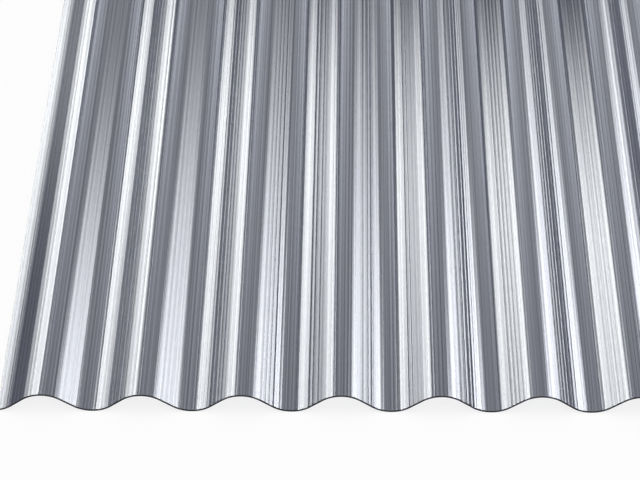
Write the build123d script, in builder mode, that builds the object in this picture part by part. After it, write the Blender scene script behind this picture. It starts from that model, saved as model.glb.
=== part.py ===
from build123d import *

import os
from math import atan2, ceil, degrees

# A corrugated polycarbonate roofing sheet with the 76/18 wave profile.
# It is extruded in one piece: a thin wall of even thickness that rises and falls in
# rounded waves. Each wave is a crest arc, a short straight flank, a valley arc of the
# same radius and another flank, each tangent to the next.
# Frame: +Y runs along the waves, +X across them and +Z up. The origin is under the
# middle of the sheet, level with the floor that its valleys rest on.

# Driving dimensions, in millimetres
sheet_length = 2000.0
sheet_width = 1045.0
wave_pitch = 76.0
wave_rise = 18.0
flank_length = 12.5
wall = 1.0
# How far the left edge is cut inside the lowest line of its valley
valley_inset = 3.0

# The middle line of the wall has one radius on crests and in valleys. It follows from
# the pitch, the rise and the flank, because each arc meets its flanks without a corner.
sheet_height = wave_rise + wall
wave_radius = (
    (wave_pitch / 2) ** 2 + wave_rise**2 - flank_length**2
) / (4 * wave_rise)
# The lean of a flank, which is also half of the turn of each arc
flank_slope = degrees(
    atan2(wave_pitch / 4, wave_radius - wave_rise / 2)
    - atan2(flank_length / 2, wave_radius)
)

# The waves are drawn from a crest outside the left edge to past the right edge
first_crest_x = -(sheet_width / 2 + valley_inset + wave_pitch / 2)
wave_count = ceil((sheet_width + valley_inset) / wave_pitch) + 1


def wave_line(rise_from_middle):
    """Draws one surface of the wall as seen on its cut end, and returns its two ends."""
    crest_radius = wave_radius + rise_from_middle
    valley_radius = wave_radius - rise_from_middle
    first_top = Vector(first_crest_x, wave_rise + wall / 2 + rise_from_middle)
    crest = JernArc(first_top, (1, 0), crest_radius, -flank_slope)
    for _ in range(wave_count):
        fall = PolarLine(crest @ 1, flank_length, -flank_slope)
        valley = JernArc(fall @ 1, fall % 1, valley_radius, 2 * flank_slope)
        rise = PolarLine(valley @ 1, flank_length, flank_slope)
        crest = JernArc(rise @ 1, rise % 1, crest_radius, -2 * flank_slope)
    return first_top, crest @ 1


with BuildPart() as corrugated_sheet:
    # The cut end of the sheet, which stands upright across the waves
    with BuildSketch(Plane.XZ):
        with BuildLine():
            under_start, under_end = wave_line(-wall / 2)
            upper_start, upper_end = wave_line(wall / 2)
            Line(under_start, upper_start)
            Line(under_end, upper_end)
        make_face()
        # The side edges are trimmed to the sold width, upright
        Rectangle(sheet_width, 3 * sheet_height, mode=Mode.INTERSECT)
    extrude(amount=sheet_length / 2, both=True)

os.makedirs("parts", exist_ok=True)
corrugated_sheet.part.label = "corrugated_sheet"
export_step(corrugated_sheet.part, "parts/corrugated_sheet.step")
print("wave radius", round(wave_radius, 2), "flank slope", round(flank_slope, 2))
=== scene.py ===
"""The looks of a corrugated polycarbonate sheet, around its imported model.

One extruded sheet lies on a white studio floor under an even light. The camera looks down
on its near end. Two long softboxes, one on each side, show as bright bands on the flanks of
every wave, and a wide one above shows faintly on the crests and in the valleys. Black cards
behind the two side boxes and beside the left edge show as dark bands.
"""
from math import atan2, ceil, cos, pi, radians, sin

import bmesh
import bpy
from mathutils import Matrix, Vector


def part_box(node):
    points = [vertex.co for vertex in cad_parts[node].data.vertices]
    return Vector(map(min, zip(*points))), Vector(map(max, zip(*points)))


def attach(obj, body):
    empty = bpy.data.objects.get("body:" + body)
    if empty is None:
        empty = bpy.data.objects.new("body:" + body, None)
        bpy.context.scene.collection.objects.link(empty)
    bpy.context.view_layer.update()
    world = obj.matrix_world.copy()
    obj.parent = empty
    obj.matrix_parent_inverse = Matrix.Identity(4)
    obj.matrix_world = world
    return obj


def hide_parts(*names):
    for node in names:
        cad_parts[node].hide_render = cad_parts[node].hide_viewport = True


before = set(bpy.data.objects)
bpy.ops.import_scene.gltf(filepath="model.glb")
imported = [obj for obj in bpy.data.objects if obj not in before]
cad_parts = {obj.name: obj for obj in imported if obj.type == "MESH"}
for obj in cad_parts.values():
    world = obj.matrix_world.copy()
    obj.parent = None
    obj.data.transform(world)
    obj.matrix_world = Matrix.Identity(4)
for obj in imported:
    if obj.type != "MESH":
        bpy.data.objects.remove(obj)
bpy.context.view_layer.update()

low, high = (Vector(corner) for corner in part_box("corrugated_sheet"))

# The wave, in metres, as the sheet is extruded
wave_pitch = 0.076
flank_length = 0.0125
wall = 0.001
valley_inset = 0.003
wave_rise = high.z - low.z - wall
wave_radius = ((wave_pitch / 2) ** 2 + wave_rise**2 - flank_length**2) / (4 * wave_rise)
flank_slope = (
    atan2(wave_pitch / 4, wave_radius - wave_rise / 2)
    - atan2(flank_length / 2, wave_radius)
)
arc_steps = 24
weld_distance = 1e-7
corner_angle = radians(45)
edge_round = 0.0001
edge_segments = 2
# How far the painted shade of a sawn end, a near-black strip, reaches on to the skins
painted_shade_margin = 0.0007
# The least upright share of a skin's normal, which a cut edge's never reaches
skin_normal = 0.5
# The order of the two materials on the sheet
skin_slot = 0
# The second slot holds the cut edges, their rounded corners and the skin margins beside them,
# all in painted shade
cut_and_shade_slot = 1


def finished(mesh, name):
    """Puts a drawn mesh into the scene as an object."""
    data = bpy.data.meshes.new(name)
    mesh.to_mesh(data)
    mesh.free()
    piece = bpy.data.objects.new(name, data)
    bpy.context.scene.collection.objects.link(piece)
    return piece


# The sheet

def swing(mesh, end, centre, angle, steps):
    """Spins the end of the line round an arc's centre, and returns its new end."""
    spun = bmesh.ops.spin(
        mesh, geom=[end], cent=centre, axis=(0, 1, 0), angle=angle, steps=steps
    )
    return next(item for item in spun["geom_last"] if isinstance(item, bmesh.types.BMVert))


def straight(mesh, end, way):
    """Draws a flank from the end of the line, and returns its new end."""
    end = bmesh.ops.extrude_vert_indiv(mesh, verts=[end])["verts"][0]
    bmesh.ops.translate(mesh, verts=[end], vec=way)
    return end


def draw_upper_surface(mesh):
    """Draws the wavy line of the upper surface at the near end, past both side edges."""
    first_crest = low.x - valley_inset - wave_pitch / 2
    waves = ceil((high.x - low.x + valley_inset) / wave_pitch) + 1
    crest_centre = Vector((first_crest, low.y, high.z - wall / 2 - wave_radius))
    valley_centre = Vector(
        (first_crest + wave_pitch / 2, low.y, low.z + wall / 2 + wave_radius)
    )
    along = flank_length * cos(flank_slope)
    drop = flank_length * sin(flank_slope)
    pitch = Vector((wave_pitch, 0, 0))
    end = bmesh.ops.create_vert(mesh, co=(first_crest, low.y, high.z))["vert"][0]
    end = swing(mesh, end, crest_centre, flank_slope, arc_steps // 2)
    for wave in range(waves):
        end = straight(mesh, end, (along, 0, -drop))
        end = swing(mesh, end, valley_centre + wave * pitch, -2 * flank_slope, arc_steps)
        end = straight(mesh, end, (along, 0, drop))
        end = swing(mesh, end, crest_centre + (wave + 1) * pitch, 2 * flank_slope, arc_steps)


def extrude_wall(mesh):
    """Draws the line out to the far end as the upper skin, and puts the wall under it."""
    drawn = bmesh.ops.extrude_edge_only(mesh, edges=mesh.edges[:])
    far_line = [item for item in drawn["geom"] if isinstance(item, bmesh.types.BMVert)]
    bmesh.ops.translate(mesh, verts=far_line, vec=(0, high.y - low.y, 0))
    mesh.normal_update()
    if mesh.faces[:][0].normal.z < 0:
        bmesh.ops.reverse_faces(mesh, faces=mesh.faces[:])
    bmesh.ops.solidify(mesh, geom=mesh.faces[:], thickness=wall)


def cut_side(mesh, x, outward):
    """Trims the sheet upright at a side edge and closes the cut."""
    cut = bmesh.ops.bisect_plane(
        mesh,
        geom=mesh.verts[:] + mesh.edges[:] + mesh.faces[:],
        plane_co=(x, 0, 0),
        plane_no=(outward, 0, 0),
        clear_outer=True,
    )
    rim = [item for item in cut["geom_cut"] if isinstance(item, bmesh.types.BMEdge)]
    bmesh.ops.edgeloop_fill(mesh, edges=rim)


def mark_off_painted_shade_margins(mesh):
    """Divides the faces along the lines where the painted shade of the sawn ends stops."""
    for y in (low.y + painted_shade_margin, high.y - painted_shade_margin):
        bmesh.ops.bisect_plane(
            mesh,
            geom=mesh.verts[:] + mesh.edges[:] + mesh.faces[:],
            plane_co=(0, y, 0),
            plane_no=(0, 1, 0),
        )


def ease_corners(mesh):
    """Tells the skins from the cuts and the margins of painted shade beside them, and rounds
    the corners between them.
    """
    corners = [
        edge for edge in mesh.edges
        if len(edge.link_faces) == 2 and edge.calc_face_angle() > corner_angle
    ]
    skin_reach = high.y - painted_shade_margin
    for face in mesh.faces:
        flat = abs(face.normal.z) > skin_normal
        inside = abs(face.calc_center_median().y) < skin_reach
        face.material_index = skin_slot if flat and inside else cut_and_shade_slot
        face.smooth = True
    bmesh.ops.bevel(
        mesh, geom=corners, offset=edge_round, offset_type="OFFSET", segments=edge_segments,
        profile=0.5, affect="EDGES", material=cut_and_shade_slot,
    )
    for edge in mesh.edges:
        slots = {face.material_index for face in edge.link_faces}
        edge.smooth = len(slots) == 1


def corrugated_sheet():
    """Models the sheet: a wavy skin given its wall, trimmed at its sides, with eased edges."""
    mesh = bmesh.new()
    draw_upper_surface(mesh)
    extrude_wall(mesh)
    cut_side(mesh, low.x, -1)
    cut_side(mesh, high.x, 1)
    mark_off_painted_shade_margins(mesh)
    bmesh.ops.remove_doubles(mesh, verts=mesh.verts[:], dist=weld_distance)
    bmesh.ops.recalc_face_normals(mesh, faces=mesh.faces[:])
    ease_corners(mesh)
    return finished(mesh, "sheet")


# Materials

class Nodes:
    """Adds nodes to a tree, with the values of their inputs and the links into them."""

    def __init__(self, tree):
        self.tree = tree
        tree.nodes.clear()

    def add(self, kind, settings=None, **inputs):
        """Adds a node, whose inputs go by their names, or by their numbers as i0 and i1."""
        node = self.tree.nodes.new(kind)
        for name, value in (settings or {}).items():
            setattr(node, name, value)
        for name, value in inputs.items():
            key = int(name[1:]) if name[1:].isdigit() else name.replace("_", " ")
            socket = node.inputs[key]
            if isinstance(value, bpy.types.NodeSocket):
                self.tree.links.new(value, socket)
            else:
                socket.default_value = value
        return node


def new_material(name):
    """An empty node material and the helper that fills it."""
    material = bpy.data.materials.new(name)
    material.use_nodes = True
    return material, Nodes(material.node_tree)


def combine(nodes, operation, first, second=0.0, third=0.0):
    """One step of arithmetic on up to three values."""
    return nodes.add(
        "ShaderNodeMath", {"operation": operation}, i0=first, i1=second, i2=third
    ).outputs[0]


def smooth_step(nodes, value, start, stop):
    """Rises smoothly from 0 to 1 while the value goes from start to stop."""
    return nodes.add(
        "ShaderNodeMapRange", {"interpolation_type": "SMOOTHSTEP"},
        Value=value, From_Min=start, From_Max=stop,
    ).outputs[0]


polycarbonate_ior = 1.585
smoke_light = (0.195, 0.205, 0.255, 1)
smoke_dark = (0.04, 0.044, 0.062, 1)
smoke_passed_to_floor = (0.55, 0.56, 0.60, 1)
gloss_roughness = 0.06
# Where across the noise the sheet starts, which picks its pattern of lines
pattern_start = 1.31
flute_pitch = 0.0031
flute_height = 0.00009
# The middle level of the flutes, which rise and fall about it
flute_middle = 0.5
# How far the flutes stray from their pitch, in radians, and how often in a metre they do
flute_stray = 12.0
strays_per_metre = 45
# How strong the flutes get, and how often in a metre that changes
flute_strength = 0.5
strengths_per_metre = 90
die_lines_per_metre = 700
die_line_height = 0.00012
die_line_detail = 1.0
# How much each kind of line deepens the smoke, and the range that goes from light to dark
die_line_share = 0.8
flute_share = 0.2
tint_range = (0.34, 0.66)


def lengthwise(nodes, place, lines_per_metre, detail=0.0):
    """Noise drawn out into straight lines along the sheet, with so many across a metre."""
    drawn = nodes.add(
        "ShaderNodeMapping", Vector=place, Location=(pattern_start, 0, 0), Scale=(1, 0, 0)
    ).outputs[0]
    return nodes.add(
        "ShaderNodeTexNoise", Vector=drawn, Scale=lines_per_metre, Detail=detail
    ).outputs["Fac"]


def flutes(nodes, place):
    """Shallow flutes along the sheet, of uneven pitch and strength, between 0 and 1."""
    across = nodes.add("ShaderNodeSeparateXYZ", Vector=place).outputs["X"]
    steady = combine(nodes, "MULTIPLY", across, 2 * pi / flute_pitch)
    stray = lengthwise(nodes, place, strays_per_metre)
    uneven = combine(nodes, "MULTIPLY_ADD", stray, flute_stray, steady)
    wave = combine(nodes, "SINE", uneven)
    change = lengthwise(nodes, place, strengths_per_metre)
    strength = combine(nodes, "MULTIPLY", change, flute_strength)
    return combine(nodes, "MULTIPLY_ADD", wave, strength, flute_middle)


def smoke_polycarbonate():
    """Clear smoke-grey polycarbonate with fine lengthwise lines from the extrusion die.

    The light of the lamps passes through it to the floor as through a plain tinted film.
    """
    material, nodes = new_material("smoke_polycarbonate")
    place = nodes.add("ShaderNodeTexCoord").outputs["Object"]
    fluting = flutes(nodes, place)
    lines = lengthwise(nodes, place, die_lines_per_metre, die_line_detail)
    fluted = nodes.add(
        "ShaderNodeBump", Height=fluting, Strength=1.0, Distance=flute_height
    ).outputs["Normal"]
    lined = nodes.add(
        "ShaderNodeBump", Height=lines, Strength=1.0, Distance=die_line_height, Normal=fluted
    ).outputs["Normal"]
    by_flutes = combine(nodes, "MULTIPLY", fluting, flute_share)
    thickness = combine(nodes, "MULTIPLY_ADD", lines, die_line_share, by_flutes)
    deep = nodes.add(
        "ShaderNodeMapRange", Value=thickness, From_Min=tint_range[0], From_Max=tint_range[1]
    ).outputs[0]
    tint = nodes.add(
        "ShaderNodeMix", {"data_type": "RGBA"}, i0=deep, i6=smoke_light, i7=smoke_dark
    ).outputs[2]
    glass = nodes.add(
        "ShaderNodeBsdfPrincipled",
        Base_Color=tint,
        Roughness=gloss_roughness,
        IOR=polycarbonate_ior,
        Transmission_Weight=1.0,
        Normal=lined,
    ).outputs["BSDF"]
    path = nodes.add("ShaderNodeLightPath").outputs
    lamp_rays = combine(nodes, "MAXIMUM", path["Is Shadow Ray"], path["Is Diffuse Ray"])
    passed = nodes.add("ShaderNodeBsdfTransparent", Color=smoke_passed_to_floor).outputs[0]
    mixed = nodes.add("ShaderNodeMixShader", i0=lamp_rays, i1=glass, i2=passed).outputs[0]
    nodes.add("ShaderNodeOutputMaterial", Surface=mixed)
    return material


# Painted shade: the near-black tones of the cut edges stand for light dying out along the wall,
# and the saw marks mix the two tones
edge_dark = (0.003, 0.003, 0.004, 1)
edge_light = (0.012, 0.012, 0.015, 1)
edge_gloss = 0.1
saw_marks_per_metre = 2500
saw_mark_depth = 0.00004
saw_mark_detail = 2.0
# The saw marks stand upright, drawn out to ten times their width
saw_mark_stretch = 10.0
# The range of the marks over which the cut goes from smooth to rough
saw_mark_range = (0.3, 0.7)
smooth_saw_cut = 0.6
rough_saw_cut = 0.9


def cut_edge_painted_shade():
    """The sawn ends and sides, near-black with painted shade for the dark where light dies out
    in the wall, with marks of the saw.
    """
    material, nodes = new_material("cut_edge_painted_shade")
    place = nodes.add("ShaderNodeTexCoord").outputs["Object"]
    upright = nodes.add(
        "ShaderNodeMapping", Vector=place, Scale=(1, 1, 1 / saw_mark_stretch)
    ).outputs[0]
    marks = nodes.add(
        "ShaderNodeTexNoise", Vector=upright, Scale=saw_marks_per_metre, Detail=saw_mark_detail
    ).outputs["Fac"]
    scored = nodes.add(
        "ShaderNodeBump", Height=marks, Strength=1.0, Distance=saw_mark_depth
    ).outputs["Normal"]
    colour = nodes.add(
        "ShaderNodeMix", {"data_type": "RGBA"}, i0=marks, i6=edge_dark, i7=edge_light
    ).outputs[2]
    matt = nodes.add(
        "ShaderNodeMapRange", Value=marks,
        From_Min=saw_mark_range[0], From_Max=saw_mark_range[1],
        To_Min=smooth_saw_cut, To_Max=rough_saw_cut,
    ).outputs[0]
    edge = nodes.add(
        "ShaderNodeBsdfPrincipled",
        Base_Color=colour,
        Roughness=matt,
        Specular_IOR_Level=edge_gloss,
        Normal=scored,
    ).outputs["BSDF"]
    nodes.add("ShaderNodeOutputMaterial", Surface=edge)
    return material


# The camera

photo_width = 640
focal_pixels = 1947
camera_x = -0.2473
camera_place = (camera_x, -1.9272, 1.1642)
camera_down = radians(46.41)
camera_turn = radians(-1.61)
camera_roll = radians(-1.04)


def set_camera():
    """Looks down on the near end of the sheet, as the photo does."""
    camera = bpy.data.cameras.new("camera")
    camera.lens = focal_pixels / photo_width * camera.sensor_width
    eye = bpy.data.objects.new("camera", camera)
    eye.matrix_world = (
        Matrix.Translation(camera_place)
        @ Matrix.Rotation(-camera_turn, 4, "Z")
        @ Matrix.Rotation(pi / 2 - camera_down, 4, "X")
        @ Matrix.Rotation(camera_roll, 4, "Z")
    )
    bpy.context.scene.collection.objects.link(eye)
    bpy.context.scene.camera = eye


# The studio

floor_colour = (0.9, 0.9, 0.9, 1)
floor_roughness = 0.8
floor_size = 12.0
# How far the floor shows as plain white rather than as it is painted and lit
white_share = 0.8
air_colour = (1, 1, 1, 1)
ambient = 0.4
overhead_level = 0.6
overhead_spread = radians(60)
card_colour = (0.01, 0.01, 0.01, 1)
card_roughness = 0.9
body_set_back = 0.01
low_card_height = 0.025
low_card_length = 1.2
low_card_gap = 0.08
# The places along the sheet where the low card stops being solid and where it is gone
low_card_full = -0.85
low_card_gone = -0.5


def rectangle(width, length):
    """Draws a flat rectangle about the origin."""
    mesh = bmesh.new()
    bmesh.ops.create_grid(mesh, x_segments=1, y_segments=1, size=0.5)
    bmesh.ops.scale(mesh, verts=mesh.verts[:], vec=(width, length, 1))
    return mesh


def seen_directly(nodes):
    """1 for rays of the camera, and for those that reach it by gloss or through the sheet."""
    path = nodes.add("ShaderNodeLightPath").outputs
    mirrored = combine(nodes, "MAXIMUM", path["Is Camera Ray"], path["Is Glossy Ray"])
    return combine(nodes, "MAXIMUM", mirrored, path["Is Transmission Ray"])


def studio_floor():
    """A white floor that keeps the sheet's shadow."""
    floor = finished(rectangle(floor_size, floor_size), "floor")
    material, nodes = new_material("floor")
    paint = nodes.add(
        "ShaderNodeBsdfPrincipled",
        Base_Color=floor_colour,
        Roughness=floor_roughness,
        Specular_IOR_Level=0.0,
    ).outputs["BSDF"]
    white = nodes.add("ShaderNodeEmission", Strength=1.0).outputs[0]
    share = combine(nodes, "MULTIPLY", seen_directly(nodes), white_share)
    mixed = nodes.add("ShaderNodeMixShader", i0=share, i1=paint, i2=white).outputs[0]
    nodes.add("ShaderNodeOutputMaterial", Surface=mixed)
    floor.data.materials.append(material)


def studio_air():
    """A world that lights evenly and shows white behind the sheet."""
    world = bpy.data.worlds.new("studio")
    world.use_nodes = True
    nodes = Nodes(world.node_tree)
    strength = nodes.add(
        "ShaderNodeMapRange", Value=seen_directly(nodes), To_Min=ambient, To_Max=1.0
    ).outputs[0]
    air = nodes.add("ShaderNodeBackground", Color=air_colour, Strength=strength).outputs[0]
    nodes.add("ShaderNodeOutputWorld", Surface=air)
    bpy.context.scene.world = world


def overhead_light():
    """Lights the floor evenly and softly from above, and shows in no reflection."""
    lamp = bpy.data.lights.new("overhead_light", "SUN")
    lamp.angle = overhead_spread
    lamp.energy = overhead_level * pi
    light = bpy.data.objects.new("overhead_light", lamp)
    light.visible_glossy = False
    light.visible_transmission = False
    bpy.context.scene.collection.objects.link(light)


def softbox(
    name, side, tilt, distance, across, along, slant, radiance, colour, bright, fade
):
    """Hangs a softbox over the sheet, square to a direction that leans off upright by tilt.

    side is -1 where it leans to the left and 1 to the right. across holds the box's inner
    and outer edges, and along its near and far ends, before slant swings its far end
    outward. The cloth's light rises from the inner edge to the first place in bright and
    from the outer edge to the second. fade holds the places along it where the light is
    gone and where it is full.
    """
    inner, outer = across
    near, far = along
    aim = Vector((side * sin(tilt), 0, cos(tilt)))
    outward = Vector((side * cos(tilt), 0, -sin(tilt)))
    centre = Vector((camera_x, (near + far) / 2, 0)) + distance * aim
    centre += (inner + outer) / 2 * outward
    lamp = bpy.data.lights.new(name, "AREA")
    lamp.shape = "RECTANGLE"
    lamp.size = outer - inner
    lamp.size_y = far - near
    lamp.energy = radiance * pi * lamp.size * lamp.size_y
    lamp.color = colour
    lamp.use_nodes = True
    nodes = Nodes(lamp.node_tree)
    cloth = nodes.add("ShaderNodeNewGeometry").outputs["Parametric"]
    place = nodes.add("ShaderNodeSeparateXYZ", Vector=cloth).outputs
    from_inner = smooth_step(nodes, place["X"], 0.0, (bright[0] - inner) / lamp.size)
    from_outer = smooth_step(nodes, place["X"], 1.0, (bright[1] - inner) / lamp.size)
    # The cloth's own X always runs outward, so on the left its own Y runs to the near end
    to_far = place["Y"] if side > 0 else combine(nodes, "SUBTRACT", 1.0, place["Y"])
    gone, full = ((place_along - near) / lamp.size_y for place_along in fade)
    by_length = smooth_step(nodes, to_far, gone, full)
    by_width = combine(nodes, "MULTIPLY", from_inner, from_outer)
    strength = combine(nodes, "MULTIPLY", by_width, by_length)
    cloth_light = nodes.add("ShaderNodeEmission", Strength=strength).outputs[0]
    nodes.add("ShaderNodeOutputLight", Surface=cloth_light)
    box = bpy.data.objects.new(name, lamp)
    square = Matrix((outward, aim.cross(outward), aim)).transposed().to_4x4()
    swing_out = Matrix.Rotation(-side * slant, 4, "Z")
    box.matrix_world = Matrix.Translation(centre) @ square @ swing_out
    box.visible_diffuse = False
    bpy.context.scene.collection.objects.link(box)
    return box


def stage_card(mesh, name, full=None, gone=None):
    """Makes the mesh a black card, which only shows as a reflection.

    Where places along the sheet are given, it is solid up to the first and clear from the
    second on.
    """
    card = finished(mesh, name)
    material, nodes = new_material(name)
    surface = nodes.add(
        "ShaderNodeBsdfPrincipled", Base_Color=card_colour, Roughness=card_roughness
    ).outputs["BSDF"]
    if gone is not None:
        place = nodes.add("ShaderNodeTexCoord").outputs["Object"]
        along = nodes.add("ShaderNodeSeparateXYZ", Vector=place).outputs["Y"]
        thin = smooth_step(nodes, along, full, gone)
        clear = nodes.add("ShaderNodeBsdfTransparent").outputs[0]
        surface = nodes.add("ShaderNodeMixShader", i0=thin, i1=surface, i2=clear).outputs[0]
    nodes.add("ShaderNodeOutputMaterial", Surface=surface)
    card.data.materials.append(material)
    card.visible_camera = False
    card.visible_diffuse = False
    card.visible_shadow = False


def black_body(box, start, turn, rim_width):
    """Backs a softbox with its black body and rim.

    The body covers the box from the given share of its width outward, and its far end is
    turned inward.
    """
    width = box.data.size * (1 - start) + 2 * rim_width
    length = box.data.size_y + 2 * rim_width
    mesh = rectangle(width, length)
    place = (box.data.size * start / 2, 0, body_set_back)
    bmesh.ops.translate(mesh, verts=mesh.verts[:], vec=place)
    bmesh.ops.rotate(mesh, verts=mesh.verts[:], matrix=Matrix.Rotation(turn, 3, "Z"))
    mesh.transform(box.matrix_world)
    stage_card(mesh, box.name + "_body")


def low_card():
    """Stands a low black card beside the sheet's left edge, which thins out along it."""
    mesh = rectangle(low_card_height, low_card_length)
    bmesh.ops.rotate(mesh, verts=mesh.verts[:], matrix=Matrix.Rotation(pi / 2, 3, "Y"))
    place = (low.x - low_card_gap, low.y, low_card_height / 2)
    bmesh.ops.translate(mesh, verts=mesh.verts[:], vec=place)
    stage_card(mesh, "low_card", low_card_full, low_card_gone)


set_camera()
bpy.context.scene.view_settings.view_transform = "Standard"
studio_floor()
studio_air()
left_box = softbox(
    "left_softbox", side=-1, tilt=radians(57), distance=0.81, across=(-0.578, 0.572),
    along=(-1.3, 0.75), slant=radians(5), radiance=12.0, colour=(0.98, 1.0, 0.985),
    bright=(-0.178, -0.228), fade=(0.75, 0.0),
)
black_body(left_box, start=0.129, turn=radians(-8), rim_width=0.15)
right_box = softbox(
    "right_softbox", side=1, tilt=radians(50), distance=0.8, across=(-0.245, 0.705),
    along=(-1.29, 0.86), slant=radians(17), radiance=14.2, colour=(0.94, 0.96, 1.0),
    bright=(0.105, 0.205), fade=(0.76, -0.74),
)
black_body(right_box, start=0.55, turn=0.0, rim_width=0.1)
softbox(
    "top_softbox", side=1, tilt=0.0, distance=1.2, across=(-1.6, 1.1),
    along=(-0.6, 1.8), slant=0.0, radiance=3.4, colour=(0.86, 0.91, 1.0),
    bright=(-0.9, -0.8), fade=(-0.3, 0.9),
)
overhead_light()
low_card()

sheet = corrugated_sheet()
sheet.data.materials.append(smoke_polycarbonate())
sheet.data.materials.append(cut_edge_painted_shade())
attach(sheet, "root")
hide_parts("corrugated_sheet")
